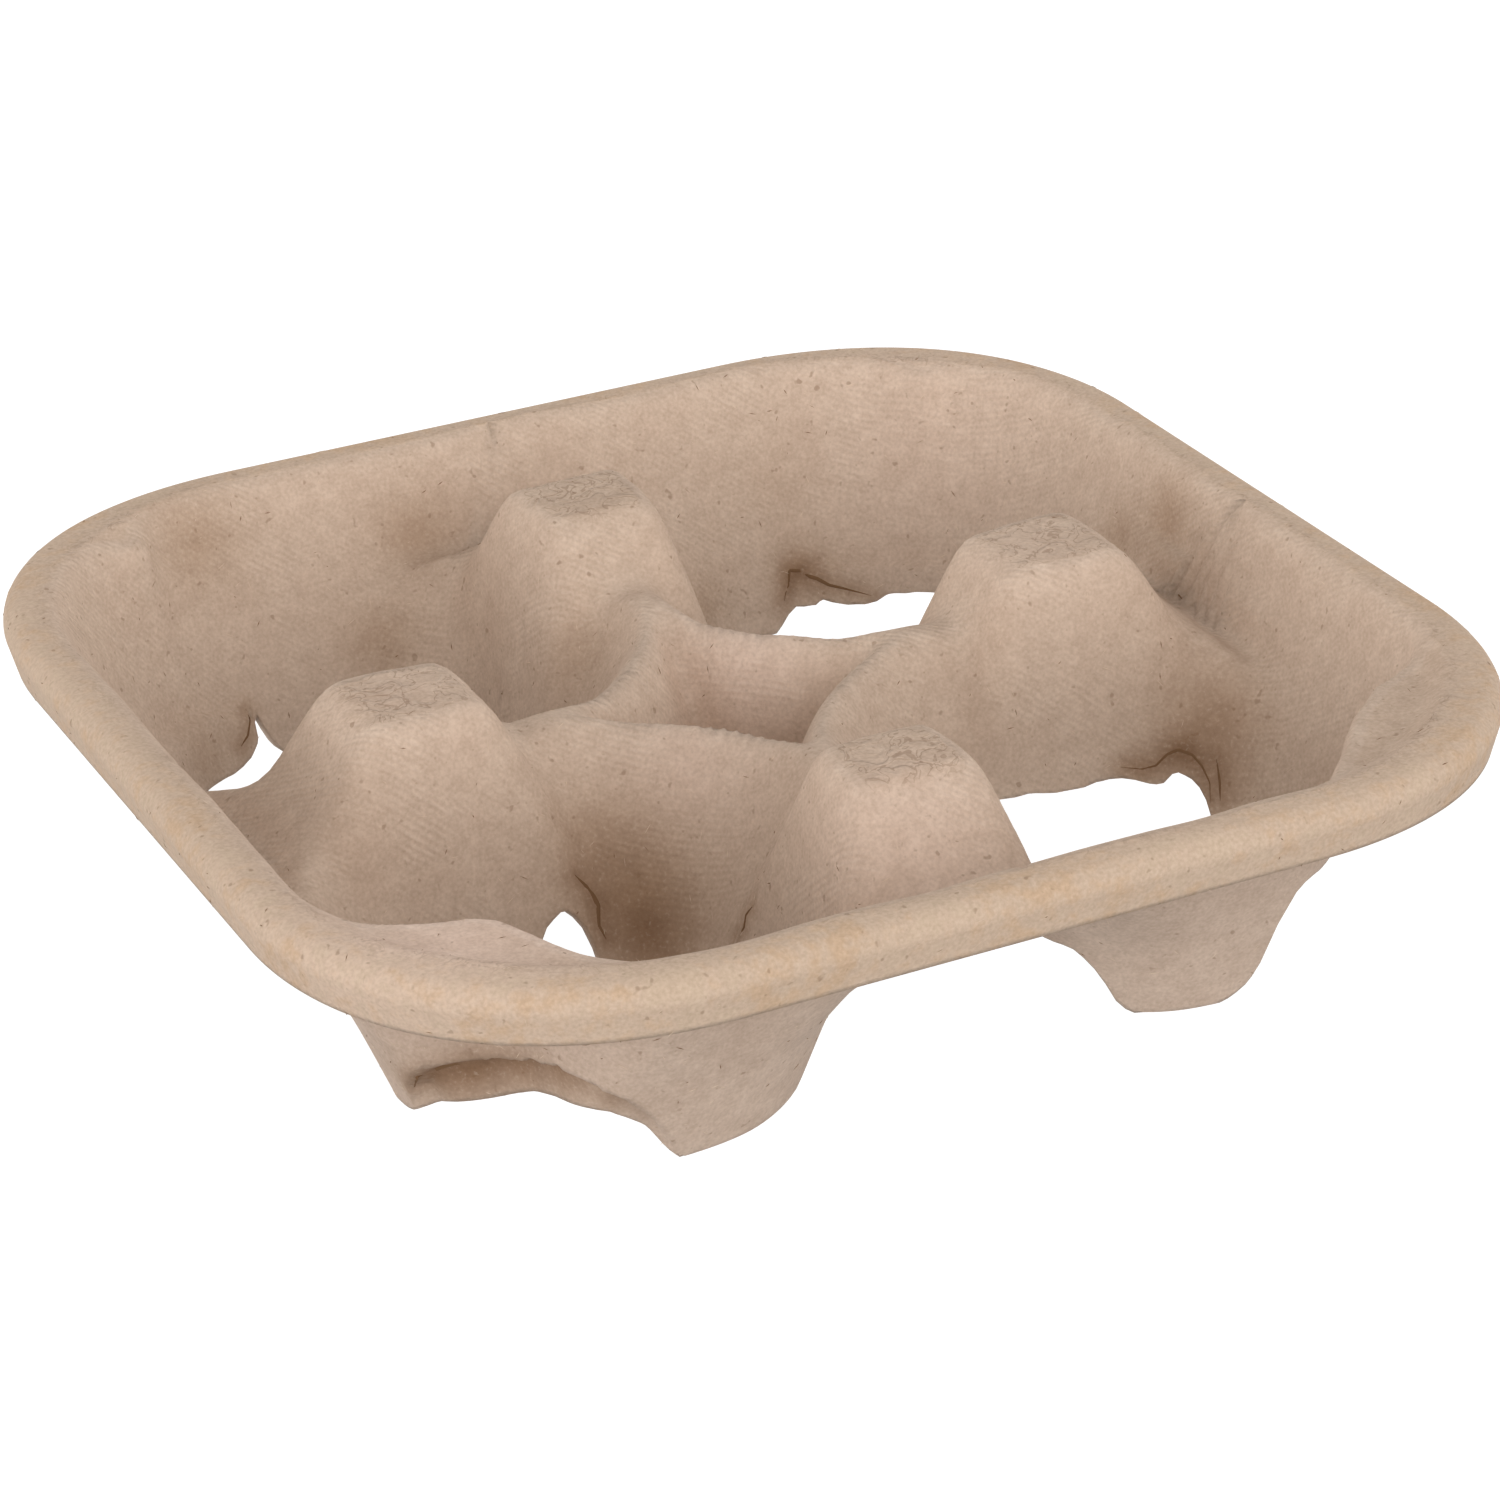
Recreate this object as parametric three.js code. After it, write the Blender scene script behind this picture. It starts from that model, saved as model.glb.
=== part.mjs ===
// Four-cup carrier tray of moulded pulp, one piece, in millimetres with +Z up.
// The tray is one wet-formed sheet. Its top face is a height over the plan, its underside is that
// face moved along its own normal by the thickness, and both are cut off at the four open pocket
// bottoms and at the lower edge of the rolled rim. The origin is on the floor under the middle.
import * as THREE from "three";

// Plan and rim
const POCKET = 50; // pocket centres lie this far from both midlines
const SHEET = 2; // thickness of the pulp
const CREST = 45.6; // top of the rim
const CREST_WIDTH = 101; // half-width of the line along the middle of the crest
const RIM_WIDTH = 107.5; // half-width over the outside of the rim
const RIM_ROUND = 3.7; // radius that rolls the crest over into the lip
const RIM_CORNER = 1.3; // the rim reaches this much further out at its corners
const LIP_BOTTOM = 36.2; // height of the lip's cut edge
const LIP_WIDTH = 106.1; // half-width at the lip's cut edge

// Outer wall: rounded squares about the pocket centres, opening upwards
const WALL_FOOT = 80.5; // half-width at the floor
const WALL_FLARE = 0.39; // growth of the half-width for each millimetre of height

// Pockets: cones that open towards the middle, and bells towards the outer walls. Flat-topped
// ridges keep them apart; between each post and the outer wall is a bench that falls to the wall.
const CONE_FOOT = 31.1;
const CONE_FLARE = 0.56;
const BELL_FOOT = 31;
const BELL_FLARE = 0.38;
const SHOULDER = 15.5; // height above which the bell opens faster
const SHOULDER_FLARE = 0.74;
const RIDGE_TOP = 36.2;
const RIDGE_HALF = 3.5;
const RIDGE_FLARE = 0.6;
const BENCH_TOP = 31;
const BENCH_END = 83; // distance from the middle at which the bench begins to fall
const BENCH_FLARE = 1.15;
const FRONT_BENCH = 29.5; // the bench at the front falls no lower than this
const POST_MIDDLE = 58; // ridges end and benches begin at this distance from the middle

// Centre pit: closed at its floor, its walls follow the four pockets
const PIT_REACH = 53.6; // distance of its top edge from each pocket centre
const PIT_FLARE = 0.4;
const PIT_FLOOR = 6;
const PIT_LIMIT = 45;

// Posts: one on each midline, with cup-shaped flanks towards the two pockets beside it
const FLANK_WIDTH = 39.3; // distance of a flank's top from the pocket centre
const FLANK_FLARE = 0.27;
const FLANK_KNEE = 5.7; // further out than this, a flank is three times as steep
const POST_HALF = 11.6; // half-width of the top
const POST_ROUND = 4; // corner radius of the top
const POST_EDGE = 6; // height over which the top's edge is eased
const INNER_FLARE = 0.46;
const POST_REACH = 38; // a post ends this far to the side
const POSTS = [
  { axis: "y", side: 1, top: 46.8, inner: 48.5, outer: 69.5, outerFlare: 0.68 },
  { axis: "x", side: 1, top: 47, inner: 48.5, outer: 71, outerFlare: 0.62 },
  { axis: "x", side: -1, top: 47.3, inner: 48, outer: 69.5, outerFlare: 0.68 },
  { axis: "y", side: -1, top: 46.6, inner: 49.5, outer: 68, outerFlare: 0.7 },
];

// Quadrants: each list runs round the pocket in degrees, 45 pointing at the tray's corner.
// ledge: distance from the pocket centre to the edge of the shelf across the corner.
// edge: height of the cut edge of the pocket bottom. slot: height of the torn line over the tab.
const NO_LEDGE = 70;
const FEET = [[325, 0], [92, 0], [126, 0]];
const QUADRANTS = [
  {
    x: -1, y: -1, ledgeTop: 43, slot: 18.5, tab: 3,
    ledge: [[350, NO_LEDGE], [5, 46.2], [24, 36.6], [42, 30.6], [56, 34], [76, 43.2], [98, NO_LEDGE]],
    edge: [[345, 0], [0, 3], [14, 6.5], [20, 8], [33, 9], [55, 11.5], [70, 11.5], [79, 7.5], [85, 3], [138, 2],
      [152, 8], [194, 9], [204, 2], [243, 2], [254, 11], [268, 5], [308, 4]],
  },
  {
    x: 1, y: -1, ledgeTop: 43, slot: 0, tab: 0,
    ledge: [[350, NO_LEDGE], [8, 50.5], [20, 41.5], [34, 35], [50, 34.2], [74, 40.1], [100, NO_LEDGE]],
    edge: [[4, 0], [10, 6], [20, 17], [32, 22], [60, 24], [80, 25], [87, 6], [138, 14], [156, 15],
      [170, 11], [262, 10.3], [292, 8.9], [304, 7.4], [312, 9.4]],
  },
  {
    x: -1, y: 1, ledgeTop: 43, slot: 13, tab: 2,
    ledge: [[20, NO_LEDGE], [41, 49], [57, 42], [66, 46], [80, NO_LEDGE]],
    edge: [[4, 0], [14, 3], [40, 1.5], [70, 1.8], [79, 7.5], [84, 1], [158, 2], [190, 2], [230, 4], [308, 5]],
  },
  {
    x: 1, y: 1, ledgeTop: 44.2, slot: 11, tab: 2,
    ledge: [[10, NO_LEDGE], [32, 50.5], [46, 43.4], [59, 46.9], [80, NO_LEDGE]],
    edge: [[4, 0], [14, 6], [40, 6.6], [61, 3.8], [77, 5], [87, 4.8], [142, 13], [156, 13], [190, 9], [308, 8]],
  },
];
const LEDGE_STEEP = 12; // the face under a ledge rises this much for each millimetre inwards
const SLOT_ENDS = [8, 80]; // the slot runs between these angles

// How finely the solid is divided
const COLUMNS = [[0, 90, 9], [90, "corner", 5], ["corner", 165, 8], [165, 205, 6], [205, 225, 4]];
const RINGS = 11;
const PROFILE_STEPS = 150;
const BEND_WEIGHT = 0.5; // rings crowd where the profile bends
const EVENING_PASSES = 30;

const RADIANS = Math.PI / 180;
const step = (t) => {
  const c = Math.min(Math.max(t, 0), 1);
  return c * c * (3 - 2 * c);
};

// Half-width of the rounded square through a point, whose corners turn about the pocket centres.
function squareWidth(a, b) {
  if (a > POCKET && b > POCKET) return POCKET + Math.hypot(a - POCKET, b - POCKET);
  return Math.max(a, b);
}

// The higher or lower of two heights, with the corner between them eased over a height of k.
const ease = (a, b, k) => Math.max(k - Math.abs(a - b), 0) ** 2 / (4 * k);
const higher = (a, b, k) => Math.max(a, b) + ease(a, b, k);
const lower = (a, b, k) => Math.min(a, b) - ease(a, b, k);

// The value of a round list of [degrees, value], eased from each mark to the next.
function marked(list, degrees) {
  const marks = [...list].sort((p, q) => p[0] - q[0]);
  const after = marks.findIndex((m) => m[0] > degrees);
  const next = after < 0 ? [marks[0][0] + 360, marks[0][1]] : marks[after];
  const last = marks[(after < 0 ? marks.length : after) - 1] ?? [marks.at(-1)[0] - 360, marks.at(-1)[1]];
  return last[1] + (next[1] - last[1]) * step((degrees - last[0]) / (next[0] - last[0]));
}

// Height of a post: the top less the distance outside its rounded outline divided by the flare of
// the sides that are passed, each side counting by the square of its share.
function postHeight(post, along, across) {
  const round = Math.hypot(across - POCKET, along - POCKET);
  const flank = Math.max(FLANK_WIDTH - round, across - POST_HALF);
  const sides = [
    [post.inner - along, INNER_FLARE],
    [along - post.outer, post.outerFlare],
    [flank + 2 * Math.max(flank - FLANK_KNEE, 0), FLANK_FLARE],
  ];
  let squares = 1e-9;
  let flares = 0;
  for (const [distance, flare] of sides) {
    const past = Math.max(distance + POST_ROUND, 0) ** 2;
    squares += past;
    flares += flare * past;
  }
  const drop = (Math.sqrt(squares) - POST_ROUND) / Math.max(flares / squares, 0.1);
  return lower(post.top - drop, post.top, POST_EDGE);
}

// Height of the wall of a pocket: a cone on the side of the tray's middle, a bell on the outside.
function pocketHeight(a, b, reach) {
  const outward = (a - POCKET + b - POCKET) / (Math.max(reach, 1) * Math.SQRT2);
  const cone = (reach - CONE_FOOT) / CONE_FLARE;
  const shoulder = BELL_FOOT + BELL_FLARE * SHOULDER;
  const bell = Math.min((reach - BELL_FOOT) / BELL_FLARE, SHOULDER + (reach - shoulder) / SHOULDER_FLARE);
  const inner = step((-outward - 0.1) / 0.5);
  return cone * inner + bell * (1 - inner);
}

// The tool's own height at a point of the plan.
function toolHeight(x, y) {
  const a = Math.abs(x);
  const b = Math.abs(y);
  const along = Math.max(a, b);
  const across = Math.min(a, b);
  const reach = Math.hypot(a - POCKET, b - POCKET);
  const inside = along < POST_MIDDLE;
  const fallen = BENCH_TOP - Math.max(along - BENCH_END, 0) / BENCH_FLARE;
  const bench = y < 0 && b > a ? Math.max(fallen, FRONT_BENCH) : fallen;
  let z = lower(pocketHeight(a, b, reach), inside ? RIDGE_TOP : bench, 5);
  if (inside) {
    const ridge = RIDGE_TOP - Math.max(across - RIDGE_HALF, 0) / RIDGE_FLARE;
    z = higher(z, ridge, 6);
  }
  if (along < PIT_LIMIT) {
    z = lower(z, Math.max(RIDGE_TOP - (reach - PIT_REACH) / PIT_FLARE, PIT_FLOOR), 6);
  }
  for (const post of POSTS) {
    const distance = post.side * (post.axis === "x" ? x : y);
    const aside = post.axis === "x" ? b : a;
    if (distance > 0 && aside < POST_REACH) z = higher(z, postHeight(post, distance, aside), 6);
  }
  const wall = (squareWidth(a, b) - WALL_FOOT) / WALL_FLARE;
  z = higher(z, wall, 7);
  if (a + b > 2 * POCKET) {
    const quadrant = QUADRANTS.find((q) => q.x * x >= 0 && q.y * y >= 0);
    const turn = (Math.atan2(b - POCKET, a - POCKET) / RADIANS + 360) % 360;
    const face = quadrant.ledgeTop + (reach - marked(quadrant.ledge, turn)) * LEDGE_STEEP;
    z = higher(z, lower(quadrant.ledgeTop, face, 3), 4);
  }
  return along > 80 ? Math.min(z, CREST) : z;
}

// Wet pulp rounds off every edge of the tool: the height is averaged over a small disc.
function disc(radius) {
  const points = [[0, 0, 1]];
  for (let i = 0; i < 6; i++) {
    const turn = (i * Math.PI) / 3;
    points.push([radius * Math.cos(turn), radius * Math.sin(turn), 1]);
  }
  for (let i = 0; i < 12; i++) {
    const turn = (i * Math.PI) / 6;
    points.push([1.9 * radius * Math.cos(turn), 1.9 * radius * Math.sin(turn), 0.45]);
  }
  const total = points.reduce((sum, p) => sum + p[2], 0);
  return points.map((p) => [p[0], p[1], p[2] / total]);
}
const EDGE_DISC = disc(2.4);
const NORMAL_DISC = disc(3);

const averaged = (x, y, points) =>
  points.reduce((sum, [dx, dy, weight]) => sum + weight * toolHeight(x + dx, y + dy), 0);
const height = (x, y) => averaged(x, y, EDGE_DISC);

// Upward normal of the softened surface, which also guides the underside.
function surfaceNormal(x, y) {
  const reach = 0.5;
  const dx = averaged(x + reach, y, NORMAL_DISC) - averaged(x - reach, y, NORMAL_DISC);
  const dy = averaged(x, y + reach, NORMAL_DISC) - averaged(x, y - reach, NORMAL_DISC);
  return new THREE.Vector3(-dx, -dy, 2 * reach).normalize();
}

// Radius at which a ray from the pocket centre leaves the quadrant or meets the crest line.
function rayEnd(degrees) {
  const c = Math.cos(degrees * RADIANS);
  const s = Math.sin(degrees * RADIANS);
  const rim = CREST_WIDTH - POCKET;
  if (c >= 0 && s >= 0) return rim;
  const sideways = c < 0 ? POCKET / -c : rim / c;
  const lengthways = s < 0 ? POCKET / -s : rim / s;
  return Math.min(sideways, lengthways);
}

const point = (quadrant, degrees, radius) => [
  quadrant.x * (POCKET + radius * Math.cos(degrees * RADIANS)),
  quadrant.y * (POCKET + radius * Math.sin(degrees * RADIANS)),
];

// How far the tab in the corner arch is pushed inwards below its torn line.
function tabShift(quadrant, degrees, z) {
  const [start, end] = SLOT_ENDS;
  const swing = 8;
  const open = step((degrees - start) / swing) * step((end - degrees) / swing);
  return quadrant.tab * open * step((quadrant.slot - z) / 2.5);
}

// The profile along one ray, from the cut edge of the pocket bottom to the end of the ray, and how
// far along it each ring should lie: evenly along the surface, closer where it bends.
function rayProfile(quadrant, degrees) {
  const foot = marked([...FEET, ...quadrant.edge], degrees);
  let low = 20;
  let high = 44;
  for (let i = 0; i < 30; i++) {
    const middle = (low + high) / 2;
    if (height(...point(quadrant, degrees, middle)) < foot) low = middle;
    else high = middle;
  }
  const end = rayEnd(degrees);
  const at = (t) => high + (end - high) * t;
  const length = [0];
  let z = foot;
  let slope = 0;
  for (let i = 1; i <= PROFILE_STEPS; i++) {
    const next = height(...point(quadrant, degrees, at(i / PROFILE_STEPS)));
    const run = (end - high) / PROFILE_STEPS;
    const turn = Math.atan2(next - z, run);
    const bend = i > 1 ? Math.abs(turn - slope) : 0;
    length.push(length[i - 1] + Math.hypot(run, next - z) + BEND_WEIGHT * bend);
    z = next;
    slope = turn;
  }
  const shares = [];
  let k = 1;
  for (let j = 0; j <= RINGS; j++) {
    const wanted = (length[PROFILE_STEPS] * j) / RINGS;
    while (k < PROFILE_STEPS && length[k] < wanted) k++;
    const t = (wanted - length[k - 1]) / (length[k] - length[k - 1]);
    shares.push((k - 1 + t) / PROFILE_STEPS);
  }
  return { degrees, foot, at, shares };
}

// All rays of a quadrant. The rings are evened out from ray to ray, so that they run smoothly.
function quadrantRays(quadrant, angles) {
  const rays = angles.map((degrees) => rayProfile(quadrant, degrees));
  let shares = rays.map((ray) => ray.shares);
  const count = rays.length;
  for (let pass = 0; pass < EVENING_PASSES; pass++) {
    shares = shares.map((row, i) => {
      const before = shares[(i + count - 1) % count];
      const after = shares[(i + 1) % count];
      return row.map((share, j) => (before[j] + 2 * share + after[j]) / 4);
    });
  }
  return rays.map((ray, i) =>
    shares[i].map((share, j) => {
      const radius = ray.at(share);
      return [radius, j === 0 ? ray.foot : height(...point(quadrant, ray.degrees, radius))];
    }),
  );
}

// Angles of the columns: even steps between the turning points of the quadrant's outline.
function columnAngles() {
  const corner = 90 + Math.atan(POCKET / (CREST_WIDTH - POCKET)) / RADIANS;
  const half = [];
  for (const [from, to, count] of COLUMNS) {
    const a = from === "corner" ? corner : from;
    const b = to === "corner" ? corner : to;
    for (let i = 0; i < count; i++) half.push(a + ((b - a) * i) / count);
  }
  const mirrored = half.filter((d) => d > 90).map((d) => 450 - d).reverse();
  return { angles: [...half, 225, ...mirrored, 360].slice(0, -1), corner };
}

// The cross-section of the rim beyond the crest line: [half-width, height, normal angle].
function rimSection() {
  const section = [];
  const turns = 3;
  const middle = [RIM_WIDTH - RIM_ROUND, CREST - RIM_ROUND];
  for (let i = 0; i <= turns; i++) {
    const turn = (Math.PI / 2) * (1 - i / turns);
    section.push([
      middle[0] + RIM_ROUND * Math.cos(turn),
      middle[1] + RIM_ROUND * Math.sin(turn),
      turn,
    ]);
  }
  section.push([LIP_WIDTH, LIP_BOTTOM, -0.2]);
  return section;
}

// Builds the closed skin. Every place is kept once, as a pair of points: top face and underside.
function buildTray() {
  const top = [];
  const under = [];
  const found = new Map();
  const addPair = (p, normal, floor) => {
    const key = p.map((v) => Math.round(v * 200)).join(",");
    if (found.has(key)) return found.get(key);
    const q = new THREE.Vector3(...p).addScaledVector(normal, -SHEET);
    if (floor || q.z < 0) q.z = Math.max(floor ? p[2] : q.z, 0);
    top.push(p);
    under.push(q.toArray());
    found.set(key, top.length - 1);
    return top.length - 1;
  };

  const quads = [];
  const rims = [];
  const { angles, corner } = columnAngles();
  const section = rimSection();
  for (const quadrant of QUADRANTS) {
    const turned = quadrant.x * quadrant.y < 0;
    const face = (p, q, r, s) => quads.push(turned ? [s, r, q, p] : [p, q, r, s]);
    const grid = quadrantRays(quadrant, angles).map((rings, i) =>
      rings.map(([radius, z], j) => {
        const [x, y] = point(quadrant, angles[i], radius);
        const normal = surfaceNormal(x, y);
        const shift = tabShift(quadrant, angles[i], z);
        const [px, py] = point(quadrant, angles[i], radius - shift);
        return addPair([px, py, z], normal, j === 0 && z < 0.05);
      }),
    );
    const count = angles.length;
    for (let i = 0; i < count; i++) {
      const here = grid[i];
      const next = grid[(i + 1) % count];
      for (let j = 0; j < RINGS; j++) face(here[j], here[j + 1], next[j + 1], next[j]);
      rims.push(turned ? [next[0], here[0]] : [here[0], next[0]]);
    }

    // Rim strip along the columns that end on the crest line.
    const onRim = angles.filter((d) => d <= corner || d >= 450 - corner);
    onRim.sort((p, q) => ((p + 180) % 360) - ((q + 180) % 360));
    const strip = onRim.map((degrees) => {
      const [x0, y0] = point(quadrant, degrees, rayEnd(degrees));
      const ex = Math.max(Math.abs(x0) - POCKET, 0);
      const ey = Math.max(Math.abs(y0) - POCKET, 0);
      const out = new THREE.Vector2(quadrant.x * ex, quadrant.y * ey);
      if (Math.abs(x0) < POCKET) out.set(0, quadrant.y);
      if (Math.abs(y0) < POCKET) out.set(quadrant.x, 0);
      out.normalize();
      const stretch = RIM_CORNER * (2 * Math.abs(out.x * out.y)) ** 2;
      const column = [grid[angles.indexOf(degrees)][RINGS]];
      for (const [width, z, turn] of section) {
        const reach = width - CREST_WIDTH + stretch;
        const normal = new THREE.Vector3(out.x * Math.cos(turn), out.y * Math.cos(turn), Math.sin(turn));
        column.push(addPair([x0 + out.x * reach, y0 + out.y * reach, z], normal, false));
      }
      return column;
    });
    for (let i = 0; i + 1 < strip.length; i++) {
      for (let j = 0; j + 1 < strip[i].length; j++) {
        face(strip[i][j], strip[i][j + 1], strip[i + 1][j + 1], strip[i + 1][j]);
      }
      const a = strip[i].at(-1);
      const b = strip[i + 1].at(-1);
      rims.push(turned ? [a, b] : [b, a]);
    }
  }

  const count = top.length;
  const index = [];
  // Each four-sided patch is folded along the diagonal whose middle lies nearest to the surface.
  const miss = (p, q) => {
    const [a, b] = [top[p], top[q]];
    return Math.abs((a[2] + b[2]) / 2 - height((a[0] + b[0]) / 2, (a[1] + b[1]) / 2));
  };
  for (const [p, q, r, s] of quads) {
    const folded = miss(p, r) <= miss(q, s) ? [[p, q, r], [p, r, s]] : [[p, q, s], [q, r, s]];
    for (const [a, b, c] of folded) index.push(a, b, c, count + a, count + c, count + b);
  }
  for (const [a, b] of rims) {
    index.push(a, b, count + b, a, count + b, count + a);
  }
  const geometry = new THREE.BufferGeometry();
  geometry.setAttribute("position", new THREE.Float32BufferAttribute([...top, ...under].flat(), 3));
  geometry.setIndex(index);
  geometry.computeVertexNormals();
  return geometry;
}

const pulp = new THREE.MeshStandardMaterial({ color: 0xc8a88a, roughness: 0.95, metalness: 0 });
const tray = new THREE.Mesh(buildTray(), pulp);
tray.name = "tray";

const carrier = new THREE.Group();
carrier.add(tray);

export default carrier;
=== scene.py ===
# A square carrier tray for four cups, wet-formed from paper pulp in one piece.
# Shapes are worked out in millimetres in the frame of the part, and scaled to metres once.
import math

import bmesh
import bpy
import numpy as np
from mathutils import Matrix, Vector


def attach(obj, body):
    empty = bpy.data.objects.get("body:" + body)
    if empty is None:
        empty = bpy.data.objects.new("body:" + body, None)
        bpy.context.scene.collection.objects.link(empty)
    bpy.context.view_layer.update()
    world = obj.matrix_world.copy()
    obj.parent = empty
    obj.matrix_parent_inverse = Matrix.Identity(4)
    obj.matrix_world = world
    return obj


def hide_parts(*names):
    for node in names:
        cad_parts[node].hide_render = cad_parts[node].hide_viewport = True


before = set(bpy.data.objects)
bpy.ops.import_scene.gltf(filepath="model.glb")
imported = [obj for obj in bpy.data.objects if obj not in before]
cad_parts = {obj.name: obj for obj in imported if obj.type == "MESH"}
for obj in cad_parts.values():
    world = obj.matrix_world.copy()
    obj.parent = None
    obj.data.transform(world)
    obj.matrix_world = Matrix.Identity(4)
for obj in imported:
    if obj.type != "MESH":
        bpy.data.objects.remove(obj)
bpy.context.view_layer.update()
MM = 0.001

# Tray sheet
# One sheet of moulded paper pulp, two millimetres thick. Pulp is sucked onto a wire screen in the
# shape of the tray and dried, so every edge is soft; the pocket bottoms are punched and torn out.
# pocket centres from the midlines, thickness; height and half-width of the rim's crest, its outside
# and its lip; a flare is how far a wall leans out for each millimetre up
POCKET = 50.0
SHEET = 2.0
CREST = 45.6
CREST_WIDTH = 101.0
RIM_WIDTH = 107.4
RIM_ROUND = 3.8
LIP_BOTTOM = 36.2
LIP_WIDTH = 106.0
LIP_DROP = 5.0
CORNER_STRETCH = 1.3
WALL_FOOT = 80.5
WALL_FLARE = 0.39
# pockets: a cone towards the tray's middle, and outwards a bell in two steps
CONE_FOOT = 31.1
CONE_FLARE = 0.56
CONE_TURN = (0.1, 0.5)
BELL_FOOT = 31.0
BELL_FLARE = 0.38
BELL_KNEE = (36.9, 15.5)
BELL_UPPER_FLARE = 0.74
# ridges and benches between the pockets, and the dip of a ridge beside its post
RIDGE_TOP = 36.2
RIDGE_HALF = 3.5
RIDGE_FLARE = 0.6
RIDGE_DIP = (43.0, 4.0, 2.2)
BENCH = 31.0
BENCH_EDGE = 83.0
BENCH_FLARE = 1.15
FRONT_BENCH = 29.5
POST_MIDDLE = 58.0
# the pit in the middle
PIT_REACH = 53.6
PIT_FLARE = 0.4
PIT_FLOOR = 6.0
PIT_LIMIT = 45.0
# posts
FLANK_FLARE = 0.27
FLANK_KNEE = 5.7
FLANK_STEEPER = 2.0
POST_SIDE = 39.3
POST_HALF = 11.6
POST_ROUND = 3.0
POST_EDGE = 4.0
POST_REACH = 38.0
# axis, side, top, inner edge, outer edge, inner flare, outer flare
POSTS = [
    ("y", 1, 46.8, 48.5, 69.5, 0.46, 0.68),
    ("x", 1, 47.0, 48.5, 71.0, 0.46, 0.62),
    ("x", -1, 47.3, 48.0, 69.5, 0.46, 0.68),
    ("y", -1, 46.6, 49.5, 68.0, 0.46, 0.70),
]
# side in x and y; ledge height and how far its edge stands from the pocket centre, at each angle;
# how far the tab goes in and the torn line above it; the height of the cut edge round the pocket.
# Angles are in degrees round the pocket centre, with 45 pointing at the tray's corner.
QUADRANTS = [
    dict(x=-1, y=-1, top=43.0, tab=3.6,
         ledge=[(350, 70), (3, 47.4), (7, 45.1), (15, 41.6), (24, 36.6), (33, 31.6), (42, 30.6),
                (50, 32), (56, 34), (67, 39.1), (76, 43.2), (86, 48), (100, 70)],
         slot=[(9, 3), (13, 11), (18, 16), (25, 17.5), (40, 18), (58, 20), (67, 19), (73, 16.5),
               (80, 11), (87, 3)],
         edge=[(344, 0), (352, 1.5), (0, 3), (8, 4.5), (14, 6.5), (20, 8), (33, 9), (55, 11.5),
               (70, 11.3), (79, 7.5), (85, 3), (90, 0), (134, 0), (146, 5), (156, 8), (190, 8),
               (197, 9.5), (200, 0.6), (243, 0.6),
               (245, 4.6), (247, 7.3), (249, 8.7), (252, 10.6), (254, 11.4), (257, 10.4), (260, 9),
               (264, 6), (270, 4), (310, 4), (325, 1)]),
    dict(x=1, y=-1, top=43.0, tab=0.0,
         ledge=[(350, 70), (5, 53.3), (10, 49), (20, 41.5), (30, 36), (47, 34.2), (58, 35.4),
                (74, 40.1), (86, 46.1), (94, 54), (102, 70)],
         slot=[(4, 3), (84, 3)],
         edge=[(325.5, 0), (4, 0), (10, 6), (20, 17), (32, 22), (60, 24), (82, 25), (84.5, 22),
               (85.5, 16), (86.3, 10), (87.5, 6), (90, 3.5), (94, 1.5), (100, 0.3), (104, 0),
               (119, 0), (124, 1.2), (128, 4), (130, 8.2), (133, 11.7), (136, 14.5), (139, 15.5),
               (148, 17), (156, 15), (170, 11), (200, 10),
               (250, 10.6), (264, 10.3), (271, 9.4), (280, 9.1), (292, 8.9), (298, 8.3), (302, 7.5),
               (307, 7.3), (309, 9), (311.5, 9.6), (315, 8.9), (318, 7.5), (321, 5.4), (323.5, 2.5)]),
    dict(x=-1, y=1, top=43.0, tab=2.0,
         ledge=[(20, 70), (34, 55), (41, 49), (46, 45.5), (52, 43), (57, 42), (62, 43), (70, 52), (80, 70)],
         slot=[(4, 2), (14, 10), (40, 13), (60, 12), (76, 9), (80, 3)],
         edge=[(325, 0), (4, 0), (14, 3), (40, 1.5), (53, 1), (61, 0.7), (66, 1.1), (71, 1.9), (73, 2.9),
               (76.5, 4.3), (78, 6.3), (79.2, 8.2), (80, 6.4), (81.5, 3.8), (83, 1.9), (86, 0),
               (145, 0), (158, 2), (180, 2), (230, 4), (300, 6), (315, 4)]),
    dict(x=1, y=1, top=44.2, tab=2.0,
         ledge=[(10, 70), (24, 56), (32, 50.5), (39, 46.8), (46, 43.4), (52, 44.2), (59, 46.9), (68, 53),
                (80, 70)],
         slot=[(4, 2), (14, 8), (40, 12), (60, 11), (80, 11), (90, 6), (94, 1)],
         edge=[(325, 0), (4, 0), (14, 6), (35, 6.9), (40, 6.6), (48, 6.1), (53.5, 5.6), (57, 4.3),
               (61, 3.8), (67, 3.8), (73, 4.4), (77, 5.2), (79.5, 4.4), (84, 4.5), (87, 4.8), (89.5, 4),
               (91, 2.5), (93, 0.8), (94.5, 0), (126, 0), (134, 6), (142, 14), (155, 14), (170, 10),
               (200, 9), (300, 9), (315, 6)]),
]
LEDGE_STEEP = 12.0
LEDGE_ROUND = 3.0
# degrees over which a tab comes in at its ends, and the height of its torn upper lip
TAB_ENDS = 6.0
TAB_LIP = 1.2
TAB_RAGGED = 0.2
TAB_GRAIN = 5.0
# heights over which one surface eases into the next
BENCH_EASE = 5.0
RIDGE_EASE = 3.0
PIT_EASE = 3.0
POST_EASE = 6.0
WALL_EASE = 7.0
LEDGE_EASE = 4.0
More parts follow.
